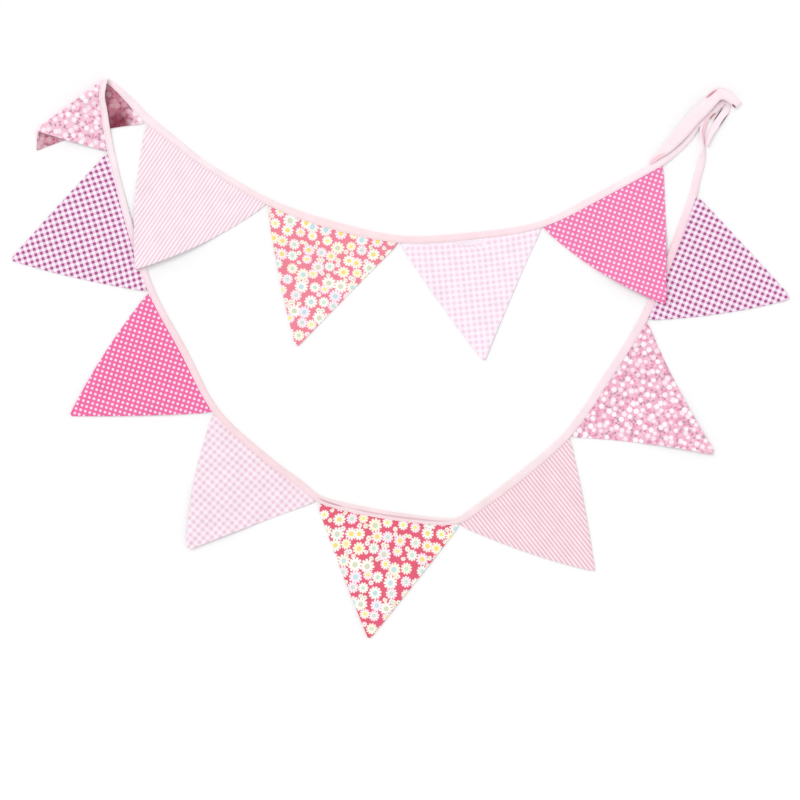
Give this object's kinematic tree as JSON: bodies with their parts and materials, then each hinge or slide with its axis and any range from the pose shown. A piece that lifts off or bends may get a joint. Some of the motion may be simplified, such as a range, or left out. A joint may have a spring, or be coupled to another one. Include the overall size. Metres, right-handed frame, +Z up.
{
  "type": "fabric bunting",
  "caption": "Row of double cotton pennants sewn into one folded cotton tape whose free ends are the ties, laid out on a surface in an open oval.",
  "frame": {"origin": "the middle of the layout seen from above, on the surface that it lies on", "axes": "+Z up from the surface. +X to the right and +Y up the layout, as it is seen from above with both ties at the top right."},
  "size_m": [1.112, 0.7998, 0.0178],
  "materials": {
    "tape": "matt pale pink cotton",
    "polka": "matt hot pink cotton with small white dots",
    "light_gingham": "matt pale pink and white checked cotton",
    "daisy": "matt coral red cotton with pale daisies",
    "stripe": "matt pink and white striped cotton",
    "small_floral": "matt pink cotton with small white blossoms",
    "purple_gingham": "matt plum and white checked cotton"
  },
  "bodies": {
    "root": {"binding_tape": "tape", "pennant_01_polka": "polka", "pennant_02_light_gingham": "light_gingham", "pennant_03_daisy": "daisy", "pennant_04_stripe": "stripe", "pennant_05_small_floral_folded": "small_floral", "pennant_06_purple_gingham": "purple_gingham", "pennant_07_polka": "polka", "pennant_08_light_gingham": "light_gingham", "pennant_09_daisy": "daisy", "pennant_10_stripe": "stripe", "pennant_11_small_floral": "small_floral", "pennant_12_purple_gingham": "purple_gingham"}
  },
  "joints": []
}
